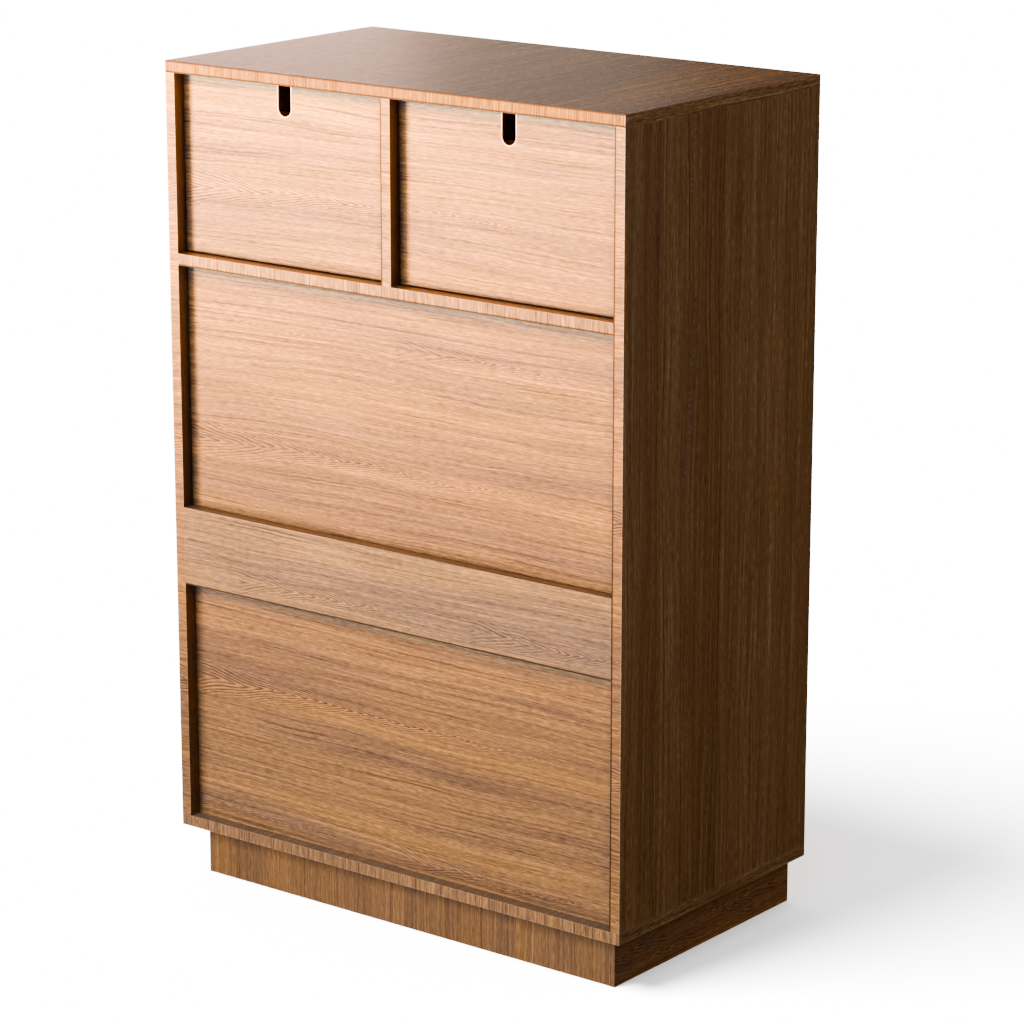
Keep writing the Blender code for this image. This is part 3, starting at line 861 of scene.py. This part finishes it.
class DRESSER_OT_plinth(bpy.types.Operator):
    """Dress the mitred plinth and its corner blocks"""

    bl_idname = "dresser.plinth"
    bl_label = "Plinth"

    def execute(self, context):
        pair = ("plinth_veneer", "plinth_edge")
        for step, side in enumerate(("left", "right")):
            dress("plinth_" + side, "carcass", "veneer_plinth", pair, (Y, Z, Y),
                  shift=(0.6 * step, 0), width=0.0006)
        for step, side in enumerate(("back", "front")):
            dress("plinth_" + side, "carcass", "veneer_plinth", pair[1:] * 2, (Y, Z, X),
                  shift=(0, 1.7 * step), width=0.0006)
        for step, corner in enumerate(("front_left", "front_right", "back_right", "back_left")):
            dress("corner_block_" + corner, "carcass", "hardwood", BEECH, (Z, Z, X),
                  shift=(0.2 * step, 0.3 * step))
        return {"FINISHED"}


class DRESSER_OT_fronts(bpy.types.Operator):
    """Dress the five drawer fronts, veneered from one run of leaves"""

    bl_idname = "dresser.fronts"
    bl_label = "Drawer Fronts"

    def execute(self, context):
        for drawer in DRAWERS:
            dress(drawer + "_front", drawer, "veneer_front", ("front_veneer", "edge_veneer"),
                  (Z, X, X))
        return {"FINISHED"}


class DRESSER_OT_boxes(bpy.types.Operator):
    """Dress the drawer boxes: plywood sides, backs and bottoms, and the beech bars. The backs of
    the small drawers have edges painted near black as shade, so that nothing pale shows in the slots"""

    bl_idname = "dresser.boxes"
    bl_label = "Drawer Boxes"

    def execute(self, context):
        ply = ("birch_face", "birch_edge")
        for step, drawer in enumerate(DRAWERS):
            made = {"body": drawer, "slot": "birch_ply", "finishes": ply, "layered": True}
            for turn, side in enumerate(("left", "right")):
                dress(f"{drawer}_side_{side}", grain=(Y, X, Y), width=0.0010,
                      shift=(0.7 * step, 0.4 * turn + 0.9 * step), **made)
            # the small drawers' backs take edges painted near black, as painted shade behind the slots
            behind = ply if drawer in WIDE_DRAWERS else ("birch_face", "painted_shade_edge")
            dress(drawer + "_back", grain=(Y, X, X), shift=(0.5 * step, 0.3), width=0.0008,
                  **{**made, "finishes": behind})
            dress(drawer + "_bottom", grain=(Y, X, X), shift=(0.9 * step, 0.6), width=0.0004,
                  **made)
        for step, drawer in enumerate(WIDE_DRAWERS):
            dress(drawer + "_bottom_bar", drawer, "hardwood", BEECH, (Y, X, Y),
                  shift=(0.4 * step, 0.2))
        return {"FINISHED"}


class DRESSER_OT_runners(bpy.types.Operator):
    """Dress the ten beech runners"""

    bl_idname = "dresser.runners"
    bl_label = "Runners"

    def execute(self, context):
        for step, drawer in enumerate(DRAWERS):
            for turn, side in enumerate(("left", "right")):
                dress(f"{drawer}_runner_{side}", "carcass", "hardwood", BEECH, (Y, Z, Y),
                      shift=(0.37 * step, 0.23 * turn))
        return {"FINISHED"}


# Screws, placed by Geometry Nodes

def screw_tree():
    """Points to screws: a tapered head with a cross recess, turned to each point's own facing."""
    tree = bpy.data.node_groups.new("screws", "GeometryNodeTree")
    face = tree.interface
    face.new_socket(name="Points", in_out="INPUT", socket_type="NodeSocketGeometry")
    for name, default in (("Head", 0.0072), ("Proud", 0.0003), ("Recess", 0.0011)):
        socket = face.new_socket(name=name, in_out="INPUT", socket_type="NodeSocketFloat")
        socket.default_value = default
    face.new_socket(name="Material", in_out="INPUT", socket_type="NodeSocketMaterial")
    face.new_socket(name="Screws", in_out="OUTPUT", socket_type="NodeSocketGeometry")
    t = Tree(tree)
    given = t.add("NodeGroupInput")
    radius = given["Head"] * 0.5
    sunk = 0.0022
    cone = t.add("GeometryNodeMeshCone", {
        "Vertices": 28, "Radius Top": radius, "Radius Bottom": radius * 0.45, "Depth": sunk})[0]
    up = t.add("ShaderNodeCombineXYZ", {2: given["Proud"] - sunk})[0]
    head = t.add("GeometryNodeTransform", {"Geometry": cone, "Translation": up})[0]
    cut = t.add("GeometryNodeMeshBoolean", {"Mesh 1": head}, operation="DIFFERENCE", solver="EXACT")
    for wide, deep in ((0.58, 0.13), (0.13, 0.58)):
        size = t.add("ShaderNodeCombineXYZ", {
            0: given["Head"] * wide, 1: given["Head"] * deep, 2: given["Recess"] * 2.0})[0]
        arm = t.add("GeometryNodeMeshCube", {"Size": size})[0]
        tree.links.new(arm.socket, cut.node.inputs["Mesh 2"])
    facing = t.add("GeometryNodeInputNamedAttribute", {"Name": "facing"}, data_type="FLOAT_VECTOR")
    turn = t.add("FunctionNodeAlignRotationToVector", {"Vector": facing[0]}, axis="Z")[0]
    spin = t.add("FunctionNodeRandomValue", {"Min": 0.0, "Max": 6.283, "Seed": 4},
                 data_type="FLOAT")["Value"]
    own = t.add("FunctionNodeAxisAngleToRotation", {"Angle": spin})[0]
    both = t.add("FunctionNodeRotateRotation", {"Rotation": turn, "Rotate By": own},
                 rotation_space="LOCAL")[0]
    placed = t.add("GeometryNodeInstanceOnPoints", {
        "Points": given["Points"], "Instance": cut[0], "Rotation": both})[0]
    real = t.add("GeometryNodeRealizeInstances", {"Geometry": placed})[0]
    last = t.add("GeometryNodeSetMaterial", {"Geometry": real, "Material": given["Material"]})[0]
    t.add("NodeGroupOutput", {"Screws": last})
    return tree


def screws_at(name, body, places, tree):
    """One mesh of screws for one body. places holds each screw's point and the way it faces."""
    settings = bpy.context.scene.dresser_screws
    mesh = bpy.data.meshes.new(name)
    mesh.from_pydata([point for point, _ in places], [], [])
    facing = mesh.attributes.new("facing", "FLOAT_VECTOR", "POINT")
    for index, (_, way) in enumerate(places):
        facing.data[index].vector = way
    piece = new_object(name, mesh)
    modifier = piece.modifiers.new("screws", "NODES")
    modifier.node_group = tree
    values = {"Head": settings.head, "Proud": settings.proud,
              "Material": finish_named("screw_steel")}
    for item in tree.interface.items_tree:
        if item.name in values and item.in_out == "INPUT":
            modifier[item.identifier] = values[item.name]
    apply_modifiers(piece)
    if not piece.data.polygons:
        raise RuntimeError(f"{name} came out empty")
    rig.ride(piece, body)
    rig.slot(piece, "hardwood")
    return piece


class DRESSER_OT_screws(bpy.types.Operator):
    """Set countersunk screws in the runners and the corner blocks"""

    bl_idname = "dresser.screws"
    bl_label = "Screws"

    def execute(self, context):
        settings = context.scene.dresser_screws
        tree = screw_tree()
        runner_places, block_places = [], []
        for node in sorted(frame["nodes"]):
            low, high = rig.box(node)
            if "_runner_" in node:
                way = 1 if node.endswith("left") else -1
                face = high.x if way > 0 else low.x
                start, end = low.y + settings.end_distance, high.y - settings.end_distance
                for step in range(settings.per_runner):
                    y = start + (end - start) * step / (settings.per_runner - 1)
                    runner_places.append(((face, y, (low.z + high.z) / 2), (way, 0, 0)))
            elif node.startswith("corner_block"):
                middle = (low + high) / 2
                inward = Vector((-math.copysign(1, middle.x), -math.copysign(1, middle.y), 0))
                for lift in (0.25, 0.75):
                    spot = Vector((middle.x, middle.y, low.z + lift * (high.z - low.z)))
                    block_places.append((spot, inward.normalized()))
        screws_at("runner_screws", "carcass", runner_places, tree)
        screws_at("corner_block_screws", "carcass", block_places, tree)
        return {"FINISHED"}


# Stage

def look_from(azimuth, elevation):
    """The direction from the object to a viewer on that side."""
    return Vector((math.sin(azimuth) * math.cos(elevation),
                   -math.cos(azimuth) * math.cos(elevation), math.sin(elevation)))


def lamp(name, kind, place, target, energy, colour=(1, 1, 1), **settings):
    """A light at a place that shines towards a target."""
    data = bpy.data.lights.new(name, kind)
    data.energy, data.color = energy, colour
    for key, value in settings.items():
        setattr(data, key, value)
    light = new_object(name, data)
    light.location = place
    light.rotation_euler = (Vector(target) - Vector(place)).to_track_quat("-Z", "Y").to_euler()
    light.visible_camera = False
    return light


class DRESSER_OT_stage(bpy.types.Operator):
    """Set the pale floor, the soft lights and the camera"""

    bl_idname = "dresser.stage"
    bl_label = "Studio"

    def execute(self, context):
        settings = context.scene.dresser_stage
        self.floor()
        self.room(context.scene, settings.room)
        self.lights(settings)
        self.camera(context.scene, settings)
        context.scene.view_settings.view_transform = "AgX"
        context.scene.view_settings.look = "AgX - Medium High Contrast"
        return {"FINISHED"}

    @staticmethod
    def floor():
        """A wide pale sheet, black to everything but the camera, so that it throws no light up."""
        reach = 14.0
        mesh = bpy.data.meshes.new("floor")
        mesh.from_pydata([(-reach, -reach, 0), (reach, -reach, 0), (reach, reach, 0),
                          (-reach, reach, 0)], [], [(0, 1, 2, 3)])
        floor = new_object("floor", mesh)
        material = bpy.data.materials.new("floor_paper")
        t = cleared(material)
        seen = t.add("ShaderNodeLightPath")["Is Camera Ray"]
        paper = t.add("ShaderNodeBsdfDiffuse", {"Color": (0.85, 0.85, 0.85, 1)})[0]
        dull = t.add("ShaderNodeBsdfDiffuse", {"Color": (0, 0, 0, 1)})[0]
        both = t.add("ShaderNodeMixShader", {0: seen, 1: dull, 2: paper})[0]
        t.add("ShaderNodeOutputMaterial", {"Surface": both})
        mesh.materials.append(material)
        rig.stage(floor)

    @staticmethod
    def room(scene, strength):
        """White where the camera looks past the floor, and dim light from all round elsewhere."""
        world = bpy.data.worlds.new("room")
        t = cleared(world)
        seen = t.add("ShaderNodeLightPath")["Is Camera Ray"]
        white = t.add("ShaderNodeBackground", {"Color": (1, 1, 1, 1), "Strength": 40.0})[0]
        dim = t.add("ShaderNodeBackground", {
            "Color": (0.94, 0.957, 0.94, 1), "Strength": strength})[0]
        both = t.add("ShaderNodeMixShader", {0: seen, 1: dim, 2: white})[0]
        t.add("ShaderNodeOutputWorld", {"Surface": both})
        scene.world = world

    @staticmethod
    def soft_box(name, place, target, width, height, power, colour=(1, 1, 1)):
        return lamp(name, "AREA", place, target, power, colour, shape="RECTANGLE",
                    size=width, size_y=height)

    def lights(self, settings):
        """A low key whose beam is cut off towards the floor, a flat fill, soft boxes round the
        rest, and a sun and sky that only the floor takes."""
        floor = bpy.data.objects["floor"]
        only, never, outside = (bpy.data.collections.new(name) for name in (
            "floor_only", "not_the_floor", "not_behind_the_slots"))
        behind_slots = [bpy.data.objects[f"small_drawer_{side}_back_dressed"]
                        for side in ("left", "right")]
        for collection in (only, never, outside):
            for piece in [floor, *behind_slots] if collection == outside else [floor]:
                collection.objects.link(piece)
            if collection != only:
                for link in collection.collection_objects:
                    link.light_linking.link_state = "EXCLUDE"
        key = lamp("key", "SPOT", (2.95, 4.05, 0.0), (2.95, 4.051, 5.0), settings.key,
                   (1.0, 0.796, 0.548), spot_size=math.pi, spot_blend=1.0, shadow_soft_size=0.8)
        key.visible_glossy = False  # its glare would bleach the side that faces it
        made = [
            key,
            self.soft_box("fill", (0.8, 4.2, 0.9), (0, 0.25, 0.7), 2.2, 1.6, settings.fill,
                          (0.803, 0.895, 1.0)),
            self.soft_box("sheen", (3.06, -2.57, 1.5), (0, 0, 0.9), 1.2, 1.2, settings.sheen,
                          (1.0, 0.585, 0.446)),
            self.soft_box("sheen_wide", (2.9, -2.9, 2.1), (0, 0, 0.8), 2.0, 1.8,
                          settings.sheen * 0.22, (1.0, 0.96, 0.90)),
            self.soft_box("over", (0.3, -0.5, 3.4), (0, 0, 0), 1.6, 1.6, settings.over),
            self.soft_box("side", (-4.0, -0.6, 1.2), (0, 0, 0.7), 2.0, 1.8, settings.side),
            self.soft_box("front", (0.9, -3.6, 0.75), (0, -0.25, 0.7), 1.8, 1.1, settings.front),
        ]
        for light in made:
            light.light_linking.receiver_collection = (
                outside if light.name in ("key", "fill") else never)
        for name, place, power, angle in (("floor_sun", (1.12, 1.80, 3.39), 28.7, 28),
                                          ("floor_sky", (0.0, 0.07, 4.0), 6.1, 178)):
            sun = lamp(name, "SUN", place, (0, 0, 0), power, angle=math.radians(angle))
            sun.light_linking.receiver_collection = only

    @staticmethod
    def camera(scene, settings):
        """The photograph's own viewpoint."""
        data = bpy.data.cameras.new("camera")
        data.lens, data.sensor_width = settings.lens, 36.0
        data.clip_start, data.clip_end = 0.1, 100.0
        camera = new_object("camera", data)
        camera.location = settings.camera_place
        back = look_from(settings.azimuth, settings.elevation)
        camera.rotation_euler = (-back).to_track_quat("-Z", "Y").to_euler()
        scene.camera = camera


class DRESSER_PT_panel(bpy.types.Panel):
    """Lists the dresser's pieces and settings"""

    bl_label = "Veneered Dresser"
    bl_space_type = "VIEW_3D"
    bl_region_type = "UI"
    bl_category = "Dresser"

    def draw(self, context):
        for operator in OPERATORS:
            self.layout.operator(operator.bl_idname)
        for name, group in SETTINGS.items():
            box = self.layout.box()
            for key in group.__annotations__:
                box.prop(getattr(context.scene, name), key)


OPERATORS = (DRESSER_OT_case, DRESSER_OT_back, DRESSER_OT_plinth, DRESSER_OT_fronts,
             DRESSER_OT_boxes, DRESSER_OT_runners, DRESSER_OT_screws, DRESSER_OT_stage)
SETTINGS = {"dresser_finish": DresserFinish, "dresser_screws": DresserScrews,
            "dresser_stage": DresserStage}


def register():
    for cls in (*SETTINGS.values(), *OPERATORS, DRESSER_PT_panel):
        bpy.utils.register_class(cls)
    for name, group in SETTINGS.items():
        setattr(bpy.types.Scene, name, bpy.props.PointerProperty(type=group))


def unregister():
    for name in SETTINGS:
        delattr(bpy.types.Scene, name)
    for cls in reversed((*SETTINGS.values(), *OPERATORS, DRESSER_PT_panel)):
        bpy.utils.unregister_class(cls)


def main():
    """Builds every piece in order, and notes the size before and after."""
    register()
    for operator in OPERATORS:
        group, name = operator.bl_idname.split(".")
        getattr(getattr(bpy.ops, group), name)()
    with open("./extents.json", "w") as note:
        json.dump({"cad": [list(corner) for corner in CAD_BOX],
                   "visual": [list(corner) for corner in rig.bounds()]}, note)


if __name__ == "__main__":
    main()
